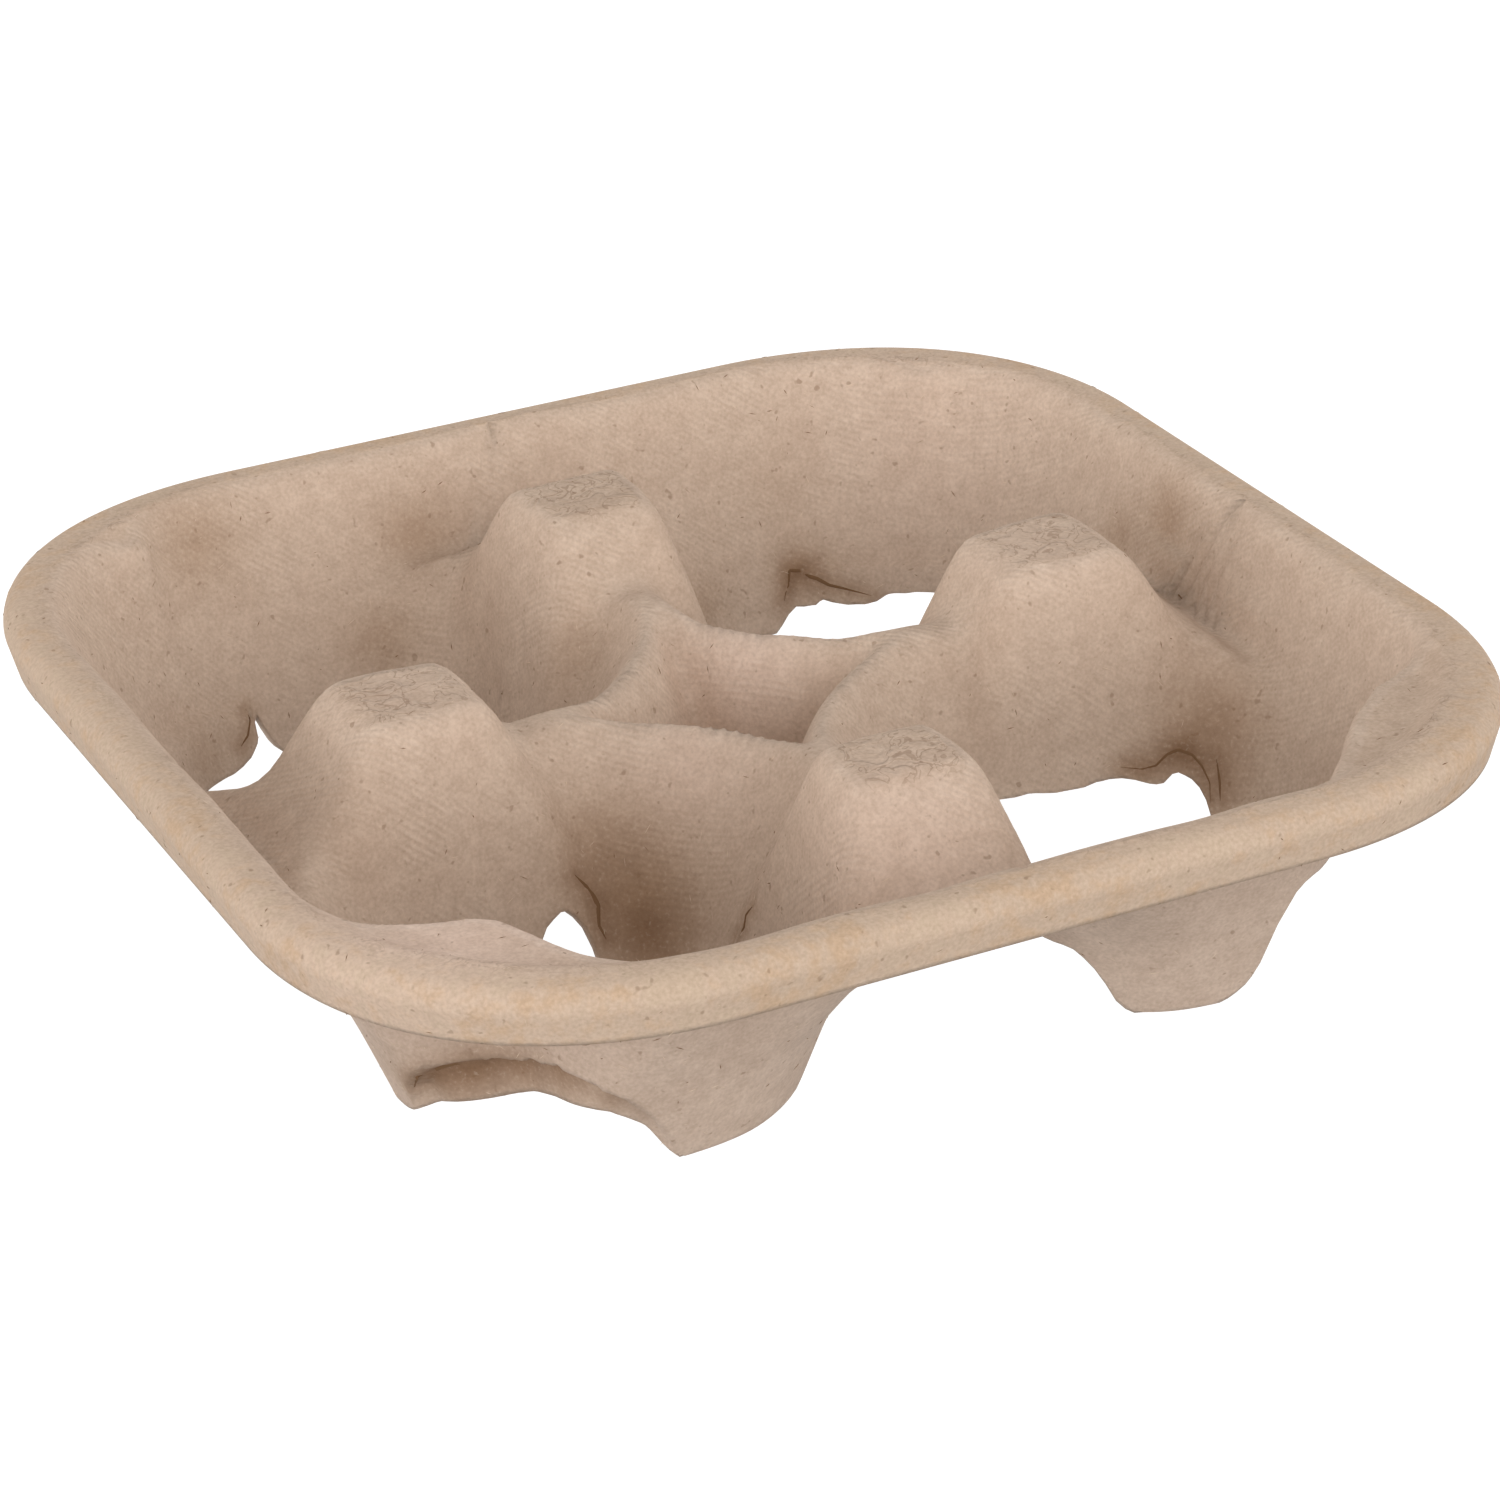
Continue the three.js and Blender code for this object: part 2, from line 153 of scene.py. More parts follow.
# dents and creases pressed into the walls: x, y, length each way along x and y, height
DENTS = [
    (94.9, 14.0, 1.5, 13.0, -3.2),
    (91.9, 29.0, 2.2, 6.0, -2.0),
    (92.8, -2.0, 1.1, 28.0, 1.6),
    (90.4, 10.0, 1.2, 14.0, -1.4),
    (-17.0, 92.6, 9.0, 1.7, -2.6),
    (-61.0, 94.5, 7.0, 2.0, -1.0),
]
EDGE_ROUGH = 0.07
# the discs over which the sheet and its normals are averaged
SOFT_RADIUS = 1.3
OUTER_RING = 1.9
OUTER_SHARE = 0.45
# waves that the sheet dries with: length, height, seed
WAVES = [(38.0, 0.25, 3), (14.0, 0.1, 7)]
NORMAL_STEP = 0.4
NORMAL_RADIUS = 2.4
# columns of the grid from the first angle to the second, for half a quarter of the tray
CORNER_ANGLE = 90.0 + math.degrees(math.atan(POCKET / (CREST_WIDTH - POCKET)))
HALF_COLUMNS = [(0, 90, 60), (90, CORNER_ANGLE, 18), (CORNER_ANGLE, 165, 15), (165, 200, 14),
                (200, 225, 10)]
RINGS = 56
PROFILE_STEPS = 300
EVENING_PASSES = 40
HALVINGS = 30
NEAREST_EDGE = 18.0
FURTHEST_EDGE = 44.0
FURTHEST_WALL = 50.0
# radius of the circle on which the raggedness of a torn edge is read, and its waves: length,
# strength, how much is added to the seed
EDGE_CIRCLE = 30.0
EDGE_GRAIN = [(6.0, 1.0, 0), (2.5, 0.6, 20)]
EDGE_SEED = 11
TAB_SEED = 40
CRISP_FOOT = 0.4
STANDING = 0.05
RIM_STEPS = 9
LIP_STEPS = 7


def higher(a, b, k):
    """The greater of two heights, with the corner between them eased over a height of k."""
    return np.maximum(a, b) + np.maximum(k - np.abs(a - b), 0.0) ** 2 / (4.0 * k)


def lower(a, b, k):
    """The lesser of two heights, eased in the same way."""
    return np.minimum(a, b) - np.maximum(k - np.abs(a - b), 0.0) ** 2 / (4.0 * k)


def ramp(t):
    """0 below 0, 1 above 1, and 3tt - 2ttt in between."""
    c = np.clip(t, 0.0, 1.0)
    return c * c * (3.0 - 2.0 * c)


def tool_height(x, y):
    """The forming tool's height over the plan: pocket cones and the ridges, pit and posts between
    them, each a plane or cone; the outer wall rises with the half-width of a rounded square about
    the pocket centres, and a ledge crosses each corner. Each joint takes the higher or lower one."""
    a = np.abs(x)
    b = np.abs(y)
    along = np.maximum(a, b)
    across = np.minimum(a, b)
    reach = np.hypot(a - POCKET, b - POCKET)
    inside = along < POST_MIDDLE
    outward = ((a - POCKET) + (b - POCKET)) / (np.maximum(reach, 1.0) * math.sqrt(2.0))
    knee_reach, knee_height = BELL_KNEE
    bell = np.minimum((reach - BELL_FOOT) / BELL_FLARE, knee_height + (reach - knee_reach) / BELL_UPPER_FLARE)
    straight = (reach - CONE_FOOT) / CONE_FLARE
    inner = ramp((-outward - CONE_TURN[0]) / CONE_TURN[1])
    cone = straight * inner + bell * (1.0 - inner)
    bench = BENCH - np.maximum(along - BENCH_EDGE, 0.0) / BENCH_FLARE
    bench = np.where((y < 0.0) & (b > a), np.maximum(bench, FRONT_BENCH), bench)
    z = lower(cone, np.where(inside, RIDGE_TOP, bench), BENCH_EASE)
    ridge = RIDGE_TOP - np.maximum(across - RIDGE_HALF, 0.0) / RIDGE_FLARE
    dip_from, dip_size, dip = RIDGE_DIP
    ridge -= dip * np.exp(-((along - dip_from) ** 2 + across ** 2) / dip_size ** 2)
    z = np.where(inside, higher(z, ridge, RIDGE_EASE), z)
    pit = np.maximum(RIDGE_TOP - (reach - PIT_REACH) / PIT_FLARE, PIT_FLOOR)
    z = np.where(along < PIT_LIMIT, lower(z, pit, PIT_EASE), z)
    for axis, side, top, start, end, inner_flare, outer_flare in POSTS:
        distance = side * (x if axis == "x" else y)
        aside = b if axis == "x" else a
        into_pocket = np.maximum(POST_SIDE - np.hypot(aside - POCKET, distance - POCKET), aside - POST_HALF)
        into_pocket += FLANK_STEEPER * np.maximum(into_pocket - FLANK_KNEE, 0.0)
        past = [np.maximum(v + POST_ROUND, 0.0) for v in (start - distance, distance - end, into_pocket)]
        flares = (inner_flare, outer_flare, FLANK_FLARE)
        outside = np.sqrt(sum(v * v for v in past) + 1e-9)
        flare = sum(f * v * v for f, v in zip(flares, past)) / (outside * outside)
        post = lower(top - (outside - POST_ROUND) / np.maximum(flare, 0.1), top, POST_EDGE)
        z = np.where((distance > 0.0) & (aside < POST_REACH), higher(z, post, POST_EASE), z)
    corner = POCKET + np.hypot(np.maximum(a - POCKET, 0.0), np.maximum(b - POCKET, 0.0))
    width = np.where((a > POCKET) & (b > POCKET), corner, along)
    z = higher(z, (width - WALL_FOOT) / WALL_FLARE, WALL_EASE)
    turn = np.degrees(np.arctan2(b - POCKET, a - POCKET)) % 360.0
    for q in QUADRANTS:
        here = (x * q["x"] >= 0.0) & (y * q["y"] >= 0.0) & (a + b > 2.0 * POCKET)
        face = q["top"] + (reach - round_table(q["ledge"], turn)) * LEDGE_STEEP
        z = np.where(here, higher(z, lower(face, q["top"], LEDGE_ROUND), LEDGE_EASE), z)
    return np.where(along > WALL_FOOT - 0.5, np.minimum(z, CREST), z)


def softened(x, y, radius):
    """The tool's height averaged over two rings round each point, which rounds every edge as wet pulp
    does. The rings have 6 and 12 places, the outer one further out and with less weight."""
    total = 1.0 * tool_height(x, y)
    weight = 1.0
    for places, share, far in ((6, 1.0, radius), (12, OUTER_SHARE, OUTER_RING * radius)):
        for turn in np.arange(places) * 2.0 * math.pi / places:
            total += share * tool_height(x + far * math.cos(turn), y + far * math.sin(turn))
            weight += share
    return total / weight


def ripple(x, y, z, size, seed):
    """Smooth noise of about unit size: six sine waves of nearly the same length, turned at random."""
    turns = np.random.default_rng(seed).normal(size=(6, 3))
    turns /= np.linalg.norm(turns, axis=1, keepdims=True)
    phases = np.random.default_rng(seed + 1).uniform(0.0, 2.0 * math.pi, 6)
    stretch = np.random.default_rng(seed + 2).uniform(0.7, 1.4, 6)
    total = np.zeros_like(x)
    for i in range(6):
        along = (x * turns[i, 0] + y * turns[i, 1] + z * turns[i, 2]) * stretch[i]
        total += np.sin(2.0 * math.pi * along / size + phases[i])
    return total / math.sqrt(6.0)


def height(x, y):
    """The softened tool, with each dent added as a bell-shaped hollow, and the waves of drying."""
    z = softened(x, y, SOFT_RADIUS)
    for dent_x, dent_y, size_x, size_y, deep in DENTS:
        z += deep * np.exp(-((x - dent_x) / size_x) ** 2 - ((y - dent_y) / size_y) ** 2)
    for length, size, seed in WAVES:
        z += size * ripple(x, y, 0.0 * x, length, seed)
    return z


def round_table(marks, degrees):
    """Reads a round table of (degrees, value) marks, straight from each mark to the next."""
    table = sorted(marks)
    return np.interp(degrees, [m[0] for m in table], [m[1] for m in table], period=360.0)


def pushed_in(q, degrees, z):
    """How far the tab under the torn line of a corner arch is pushed towards the pocket centre."""
    slot = round_table(q["slot"], degrees)
    first = q["slot"][0][0]
    last = q["slot"][-1][0]
    within = ramp((degrees - first) / TAB_ENDS) * ramp((last - degrees) / TAB_ENDS)
    return q["tab"] * within * ramp((slot - z) / TAB_LIP)


def column_angles():
    """Directions of the columns round a pocket, alike on both sides of the tray's diagonal."""
    half = [np.linspace(a, b, n, endpoint=False) for a, b, n in HALF_COLUMNS]
    half = np.concatenate(half)
    return np.concatenate((half, [225.0], (450.0 - half[half > 90.0])[::-1]))


def ray_end(degrees):
    """Distance from the pocket centre to the crest line or to the nearest midline of the tray."""
    c = np.cos(np.radians(degrees))
    s = np.sin(np.radians(degrees))
    rim = CREST_WIDTH - POCKET
    with np.errstate(divide="ignore"):
        sideways = np.where(c < -1e-9, POCKET / -c, np.where(c > 1e-9, rim / c, 1e9))
        lengthways = np.where(s < -1e-9, POCKET / -s, np.where(s > 1e-9, rim / s, 1e9))
    ends = np.minimum(sideways, lengthways)
    return np.where((c >= -1e-9) & (s >= -1e-9), rim, ends)


def reach_at(q, c, s, z, far):
    """Distance from the pocket centre, along each direction, at which the sheet reaches a height; it is
    found by halving the stretch between the floor ring and a far distance."""
    low = np.full(len(c), NEAREST_EDGE)
    high = np.full(len(c), far)
    for _ in range(HALVINGS):
        middle = (low + high) / 2.0
        below = height(q["x"] * (POCKET + middle * c), q["y"] * (POCKET + middle * s)) < z
        low = np.where(below, middle, low)
        high = np.where(below, high, middle)
    return high


def sheet_grid(q, degrees):
    """Rays from the pocket centre, one for each column, each cut off where the sheet reaches the cut
    edge's height. The rings are spaced evenly along the surface and evened out between rays."""
    c = np.cos(np.radians(degrees))[:, None]
    s = np.sin(np.radians(degrees))[:, None]
    foot = round_table(q["edge"], degrees)
    seed = EDGE_SEED + 3 * q["x"] + 5 * q["y"]
    circle = [EDGE_CIRCLE * c[:, 0], EDGE_CIRCLE * s[:, 0], 0.0 * c[:, 0]]
    rough = sum(strength * ripple(*circle, size, seed + more) for size, strength, more in EDGE_GRAIN)
    rough_foot = np.maximum(foot + EDGE_ROUGH * rough * ramp(foot / 4.0), 0.0)
    foot = np.where(foot > CRISP_FOOT, rough_foot, 0.0)
    high = reach_at(q, c[:, 0], s[:, 0], foot, FURTHEST_EDGE)
    end = ray_end(degrees)
    share = np.linspace(0.0, 1.0, PROFILE_STEPS + 1)[None, :]
    radius = high[:, None] + (end - high)[:, None] * share
    z = height(q["x"] * (POCKET + radius * c), q["y"] * (POCKET + radius * s))
    pieces = np.hypot(np.diff(radius, axis=1), np.diff(z, axis=1))
    length = np.concatenate((np.zeros((len(degrees), 1)), np.cumsum(pieces, axis=1)), axis=1)
    wanted = np.linspace(0.0, 1.0, RINGS + 1)
    shares = np.array([np.interp(wanted * row[-1], row, share[0]) for row in length])
    for _ in range(EVENING_PASSES):
        shares = 0.25 * np.roll(shares, 1, axis=0) + 0.5 * shares + 0.25 * np.roll(shares, -1, axis=0)
    radius = high[:, None] + (end - high)[:, None] * shares
    x = q["x"] * (POCKET + radius * c)
    y = q["y"] * (POCKET + radius * s)
    z = height(x, y)
    z[:, 0] = foot
    return x, y, z, c, s


def sheet_normal(x, y):
    """Upward normal of the sheet, from the slope of a well softened tool."""
    step = NORMAL_STEP
    dx = softened(x + step, y, NORMAL_RADIUS) - softened(x - step, y, NORMAL_RADIUS)
    dy = softened(x, y + step, NORMAL_RADIUS) - softened(x, y - step, NORMAL_RADIUS)
    n = np.stack((-dx, -dy, np.full_like(dx, 2.0 * step)), axis=-1)
    return n / np.linalg.norm(n, axis=-1, keepdims=True)


def rim_grid(x0, y0, out_x, out_y, stretch):
    """The rolled rim beyond the crest line: a quarter circle over the edge, then a straight lip."""
    turns = np.radians(np.linspace(90.0, 0.0, RIM_STEPS))
    middle = RIM_WIDTH - RIM_ROUND
    low = CREST - RIM_ROUND
    lip_width = np.linspace(RIM_WIDTH, LIP_WIDTH, LIP_STEPS)[1:]
    width = np.concatenate((middle + RIM_ROUND * np.cos(turns), lip_width))
    z = np.concatenate((low + RIM_ROUND * np.sin(turns), np.linspace(low, LIP_BOTTOM, LIP_STEPS)[1:]))
    lip_lean = math.atan2(LIP_WIDTH - RIM_WIDTH, LIP_DROP)
    lean = np.concatenate((turns, np.full(LIP_STEPS - 1, lip_lean)))
    reach = (width - CREST_WIDTH)[None, :] + stretch[:, None]
    x = x0[:, None] + out_x[:, None] * reach
    y = y0[:, None] + out_y[:, None] * reach
    normal = np.stack((out_x[:, None] * np.cos(lean), out_y[:, None] * np.cos(lean),
                       np.sin(lean) + 0.0 * x), axis=-1)
    return x, y, np.broadcast_to(z, x.shape).copy(), normal


degrees = column_angles()
top_points = []
under_points = []
top_normals = []
faces = []
edges = []
offset = 0
for q in QUADRANTS:
    x, y, z, c, s = sheet_grid(q, degrees)
    normal = sheet_normal(x, y)
    ragged = TAB_RAGGED * ripple(EDGE_CIRCLE * c, EDGE_CIRCLE * s, 0.0 * c, TAB_GRAIN, TAB_SEED)
    pushed = pushed_in(q, degrees[:, None], z + ragged)
    x = x - q["x"] * c * pushed
    y = y - q["y"] * s * pushed
    top = np.stack((x, y, z), axis=-1)
    under = top - SHEET * normal
    under[..., 2] = np.maximum(under[..., 2], 0.0)
    under[:, 0, 2] = np.where(z[:, 0] < STANDING, 0.0, under[:, 0, 2])

    on_rim = np.where((degrees <= CORNER_ANGLE) | (degrees >= 450.0 - CORNER_ANGLE))[0]
    on_rim = on_rim[np.argsort((degrees[on_rim] + 180.0) % 360.0)]
    x0 = x[on_rim, -1]
    y0 = y[on_rim, -1]
    out_x = q["x"] * np.where(np.abs(y0) < POCKET, 1.0, np.maximum(np.abs(x0) - POCKET, 0.0))
    out_y = q["y"] * np.where(np.abs(x0) < POCKET, 1.0, np.maximum(np.abs(y0) - POCKET, 0.0))
    out_x = np.where(np.abs(x0) < POCKET, 0.0, out_x)
    out_y = np.where(np.abs(y0) < POCKET, 0.0, out_y)
    size = np.hypot(out_x, out_y)
    out_x /= size
    out_y /= size
    stretch = CORNER_STRETCH * (2.0 * np.abs(out_x * out_y)) ** 2
    rx, ry, rz, rim_normal = rim_grid(x0, y0, out_x, out_y, stretch)
    rim_top = np.stack((rx, ry, rz), axis=-1)
    rim_under = rim_top - SHEET * rim_normal

    rows, rings = x.shape
    flip = q["x"] * q["y"] < 0
    here = offset + np.arange(rows * rings).reshape(rows, rings)
    ring_next = np.roll(here, -1, axis=0)
    quads = np.stack((here[:, :-1], here[:, 1:], ring_next[:, 1:], ring_next[:, :-1]), axis=-1)
    cut = np.stack((here[:, 0], ring_next[:, 0]), axis=-1)
    rim_here = offset + rows * rings + np.arange(rx.size).reshape(rx.shape)
    rim_here = np.concatenate((here[on_rim, -1][:, None], rim_here), axis=1)
    strip = np.stack((rim_here[:-1, :-1], rim_here[:-1, 1:], rim_here[1:, 1:], rim_here[1:, :-1]), axis=-1)
    lip = np.stack((rim_here[1:, -1], rim_here[:-1, -1]), axis=-1)
    for part in (quads.reshape(-1, 4), strip.reshape(-1, 4)):
        faces.append(part[:, ::-1] if flip else part)
    for part in (cut, lip):
        edges.append(part[:, ::-1] if flip else part)
    top_points += [top.reshape(-1, 3), rim_top.reshape(-1, 3)]
    under_points += [under.reshape(-1, 3), rim_under.reshape(-1, 3)]
    top_normals += [normal.reshape(-1, 3), rim_normal.reshape(-1, 3)]
    offset += rows * rings + rx.size

top_points = np.concatenate(top_points)
under_points = np.concatenate(under_points)
faces = np.concatenate(faces)
edges = np.concatenate(edges)
count = len(top_points)
points = np.concatenate((top_points, under_points))
skin = np.concatenate((faces, faces[:, ::-1] + count))
rims = np.stack((edges[:, 0], edges[:, 1], edges[:, 1] + count, edges[:, 0] + count), axis=-1)
all_faces = np.concatenate((skin, rims))

# Lines where the sheet tore or folded when the pocket bottoms were punched out
# quadrant, face (0 inner, 1 outer), greatest width of the dark ribbon of painted shade, marks as degrees and
# height
STEPS_PER_MARK = 6
SLITS = [
    (0, 0, 0.9, [(250, 15.8), (247, 13.4), (244, 10.3), (244, 7.4), (242, 5.2)]),
    (0, 0, 0.8, [(195, 15.6), (198, 13.5), (197, 11.8), (199, 9.7)]),
    (0, 1, 1.3, [(13, 10.5), (16, 13.6), (21, 15.6), (30, 16.4), (42, 16.8), (56, 18.4), (64, 17.6)]),
    (3, 0, 0.7, [(90, 5.5), (87, 7.9), (86, 10.4), (82, 9.9), (78, 9.0), (74, 7.6), (66, 6.3), (59, 5.3)]),
    (1, 0, 0.5, [(295, 10.6), (301, 9.8), (305, 10.4), (308, 12.3), (311, 13.2), (315, 12.6), (318, 11.1),
                 (321, 8.6), (322, 5.4)]),
    (1, 0, 0.4, [(322, 12.5), (324, 9.0), (325, 6.0)]),
    (2, 0, 0.4, [(76, 9.0), (72, 5.6), (68, 4.4)]),
]
# how dark the painted shade beside each torn line makes the pulp, and how far from the line it reaches
SLIT_SHADE = 0.55
SLIT_REACH = 2.2


def wall_points(q, side, marks):
    """Points on a pocket wall, on its inner face (side 0) or outer face (side 1); marks are (degrees,
    height) and are joined by even steps. Returns the points and the normals there."""
    steps = np.linspace(0.0, len(marks) - 1.0, STEPS_PER_MARK * len(marks))
    turn = np.radians(np.interp(steps, np.arange(len(marks)), [m[0] for m in marks]))
    z = np.interp(steps, np.arange(len(marks)), [m[1] for m in marks])
    far = reach_at(q, np.cos(turn), np.sin(turn), z, FURTHEST_WALL)
    far -= pushed_in(q, np.degrees(turn) % 360.0, z)
    x = q["x"] * (POCKET + far * np.cos(turn))
    y = q["y"] * (POCKET + far * np.sin(turn))
    upward = sheet_normal(x, y)
    line = np.stack((x, y, z), axis=-1) - side * SHEET * upward
    return line, upward * (1.0 - 2.0 * side)


# Colour of the pulp from place to place
# Dried pulp is yellower on the rolled rim, and greyer on the level flat tops and outside. Shade is
# painted as darker, browner pulp in the low corners of the pockets, in the dents, under the torn lip
# of the near corner and beside the torn lines, with some brown stains among it; light is painted as
# paler pulp in patches on the rims, walls and post tops. The tones multiply the pulp's colour.
RIM_TONE = (1.02, 1.02, 1.01)
INSIDE_TONE = (0.985, 0.995, 1.02)
FLAT_TONE = (0.94, 0.93, 0.93)
OUTSIDE_TONE = (0.96, 0.965, 1.0)
SHADE_AND_STAIN_TONE = (0.60, 0.50, 0.40)
PAINTED_LIGHT_TONE = (1.16, 1.16, 1.2)
# where the rim, the lip, the flat tops and their wrinkles begin, and how level a flat top is
RIM_START = 99.0
LIP_START = 34.0
TOPS_START = 39.0
WRINKLES_START = 44.8
LEVEL = 0.78
# x, y, z and radius in millimetres, strength
# painted shade with some brown stains: darker, browner pulp round each point in the pockets' low corners,
# dents and slot
SHADE_AND_STAINS = [
    (-28.5, -20.0, 10.0, 12.0, 0.9),
    (-33.0, -15.0, 19.0, 8.0, 0.5),
    (-27.0, -25.5, 3.0, 8.0, 0.75),
    (80.0, -24.0, 17.0, 10.0, 0.7),
    (78.0, -31.0, 9.0, 8.0, 0.5),
    (94.9, 18.0, 37.0, 7.0, 0.6),
    (91.8, 29.0, 29.5, 6.0, 0.45),
    (91.0, 6.0, 28.0, 7.0, 0.35),
    (-30.6, 82.6, 16.0, 7.0, 0.45),
    (-10.0, 38.5, 26.0, 7.0, 0.35),
    (-70.0, 74.0, 5.0, 7.0, 0.4),
    (-19.0, 92.0, 30.0, 8.0, 0.5),
    (-61.0, 94.0, 38.0, 9.0, 0.5),
    (54.0, 84.5, 9.0, 5.0, 0.9),
    (32.0, 80.0, 9.0, 6.0, 0.4),
    (2.0, 15.0, 20.0, 5.0, 0.3),
    (52.6, 90.0, 25.0, 8.0, 0.15),
    (78.0, -50.0, 12.0, 12.0, 0.25),
    (-82.0, -60.0, 12.5, 5.5, 1.0),
    (-77.0, -64.5, 14.5, 6.0, 1.0),
    (-71.0, -68.5, 15.0, 5.5, 0.9),
    (-66.5, -75.0, 16.5, 5.0, 0.8),
    (-61.0, -82.0, 14.5, 4.5, 0.6),
    (75.0, -22.0, 12.0, 4.5, 0.9),
    (68.0, -19.0, 9.5, 4.0, 0.7),
    (59.0, 85.0, 6.5, 5.0, 0.8),
    (66.0, 82.0, 5.5, 4.0, 0.6),
    (-28.5, -22.0, 5.0, 3.5, 0.5),
    (-63.0, 81.0, 6.0, 4.0, 0.3),
]
# painted light: paler pulp round each point, on the near rim and on walls, ridges and post tops
PAINTED_LIGHT_PLACES = [
    (-88.0, -72.0, 43.0, 14.0, 1.1),
    (81.0, 78.0, 31.0, 22.0, 0.45),
    (-4.0, -74.0, 36.0, 16.0, 0.9),
    (9.0, 14.0, 28.0, 12.0, 1.2),
    (-20.0, -20.0, 33.0, 12.0, 0.9),
    (-75.0, -82.0, 43.0, 15.0, 1.0),
    (-101.0, -60.0, 44.0, 25.0, 0.3),
    (58.0, 0.0, 46.5, 12.0, 0.4),
    (-58.0, 0.0, 46.5, 12.0, 0.4),
]
normals = np.concatenate(top_normals)
normals = np.concatenate((normals, -normals))
side = np.repeat((0.0, 1.0), count)
plan = np.abs(points[:, :2])
beyond = np.maximum(plan - POCKET, 0.0)
corner_width = POCKET + np.hypot(beyond[:, 0], beyond[:, 1])
width = np.where(plan.min(axis=1) > POCKET, corner_width, plan.max(axis=1))
above = points[:, 2]
rim = ramp((width - RIM_START) / 4.0) * ramp((above - LIP_START) / 2.0)
flat = (1.0 - side) * (1.0 - rim) * ramp((normals[:, 2] - LEVEL) / 0.15) * ramp((above - TOPS_START) / 3.0)
inside = (1.0 - side) * (1.0 - rim) * (1.0 - flat)
wrinkled = flat * ramp(above - WRINKLES_START)
outside = side * (1.0 - rim)


def toned(tone, weight, target):
    """Multiplies a colour by another, by as much as the weight says: 1 + weight (target - 1)."""
    return tone * (1.0 + weight[:, None] * (np.array(target) - 1.0))


tone = np.ones((len(points), 3))
for weight, target in ((rim, RIM_TONE), (flat, FLAT_TONE), (inside, INSIDE_TONE), (outside, OUTSIDE_TONE)):
    tone = toned(tone, weight, target)
# the shade points darken the pulp round them and the light points brighten it, as painted shade and painted
# light
for places, target in ((SHADE_AND_STAINS, SHADE_AND_STAIN_TONE), (PAINTED_LIGHT_PLACES, PAINTED_LIGHT_TONE)):
    for x, y, z, radius, strength in places:
        far = np.linalg.norm(points - (x, y, z), axis=1) / radius
        tone = toned(tone, strength * np.exp(-far ** 2), target)

# painted shade: the pulp darkens towards each torn or folded line
slit_lines = [wall_points(QUADRANTS[k], side, marks) for k, side, width, marks in SLITS]
slit_points = np.concatenate([line for line, upward in slit_lines])
nearest = np.full(len(points), 1e6)
for point in slit_points:
    nearest = np.minimum(nearest, ((points - point) ** 2).sum(axis=1))
tone = toned(tone, SLIT_SHADE * np.exp(-nearest / SLIT_REACH ** 2), SHADE_AND_STAIN_TONE)

# the quarters' shared edges are joined
WELD = 0.02
tray_mesh = bpy.data.meshes.new("tray_sheet")
tray_mesh.from_pydata((points * MM).tolist(), [], all_faces.tolist())
tone_layer = tray_mesh.attributes.new("tone", "FLOAT_COLOR", "POINT")
tone_layer.data.foreach_set("color", np.column_stack((tone, np.ones(len(tone)))).ravel())
for name, values in (("rim", rim), ("inside", inside), ("wrinkled", wrinkled)):
    layer = tray_mesh.attributes.new(name, "FLOAT", "POINT")
    layer.data.foreach_set("value", values)
tray = bpy.data.objects.new("tray_sheet", tray_mesh)
bpy.context.scene.collection.objects.link(tray)
bm = bmesh.new()
bm.from_mesh(tray_mesh)
bmesh.ops.remove_doubles(bm, verts=bm.verts, dist=WELD * MM)
bm.to_mesh(tray_mesh)
bm.free()
tray_mesh.polygons.foreach_set("use_smooth", [True] * len(tray_mesh.polygons))
tray_mesh.update()


def linear(code):
    """An sRGB hex colour as linear RGBA: 0.04045 and below is divided by 12.92, the rest is a power."""
    parts = [int(code[i:i + 2], 16) / 255.0 for i in (1, 3, 5)]
    return tuple(v / 12.92 if v <= 0.04045 else ((v + 0.055) / 1.055) ** 2.4 for v in parts) + (1.0,)


def add_node(tree, kind, inputs, **settings):
    """Adds a node: settings are its attributes, and each input, by name or number, takes a value or a
    link from another node's output."""
    node = tree.nodes.new(kind)
    for key, value in settings.items():
        setattr(node, key, value)
    for key, value in inputs.items():
        if isinstance(value, bpy.types.NodeSocket):
            tree.links.new(value, node.inputs[key])
        else:
            node.inputs[key].default_value = value
    return node


# Moulded paper pulp: tan, matt and grainy, with soft cloudy blotches, orange-brown mottling on the
# rim, dark flecks, and on the pocket walls the fine lines of the wire screen it was formed on.
pulp = bpy.data.materials.new("moulded_paper_pulp")
pulp.use_nodes = True
tree = pulp.node_tree
tree.nodes.clear()
position = add_node(tree, "ShaderNodeTexCoord", {}).outputs["Object"]
# size in millimetres, detail and distortion of each noise
PATTERNS = {
    "cloud": (14.3, 3.0, 0.0),
    "mottle": (3.03, 4.0, 0.0),
    "grain": (0.6667, 3.0, 0.0),
    "flecks": (1.613, 1.0, 0.0),
    "wrinkle": (4.348, 2.0, 1.2),
}
pattern = {}
for name, (size, detail, distortion) in PATTERNS.items():
    inputs = {"Vector": position, "Scale": 1.0 / (size * MM), "Detail": detail, "Distortion": distortion}
    pattern[name] = add_node(tree, "ShaderNodeTexNoise", inputs).outputs["Fac"]

# The screen's lines lie 1.1 mm apart; a diagonal wave repeats every 2 pi / 10 of its unit along x + y + z.
SCREEN_SPACING = 1.1
screen_scale = 2.0 * math.pi / (10.0 * math.sqrt(3.0) * SCREEN_SPACING * MM)
screen = add_node(tree, "ShaderNodeTexWave", {"Vector": position, "Scale": screen_scale, "Distortion": 1.2,
                                              "Detail": 2.0}, bands_direction="DIAGONAL").outputs["Fac"]
mask = {}
for name in ("rim", "inside", "wrinkled"):
    mask[name] = add_node(tree, "ShaderNodeAttribute", {}, attribute_name=name).outputs["Fac"]
tones = add_node(tree, "ShaderNodeAttribute", {}, attribute_name="tone").outputs["Color"]

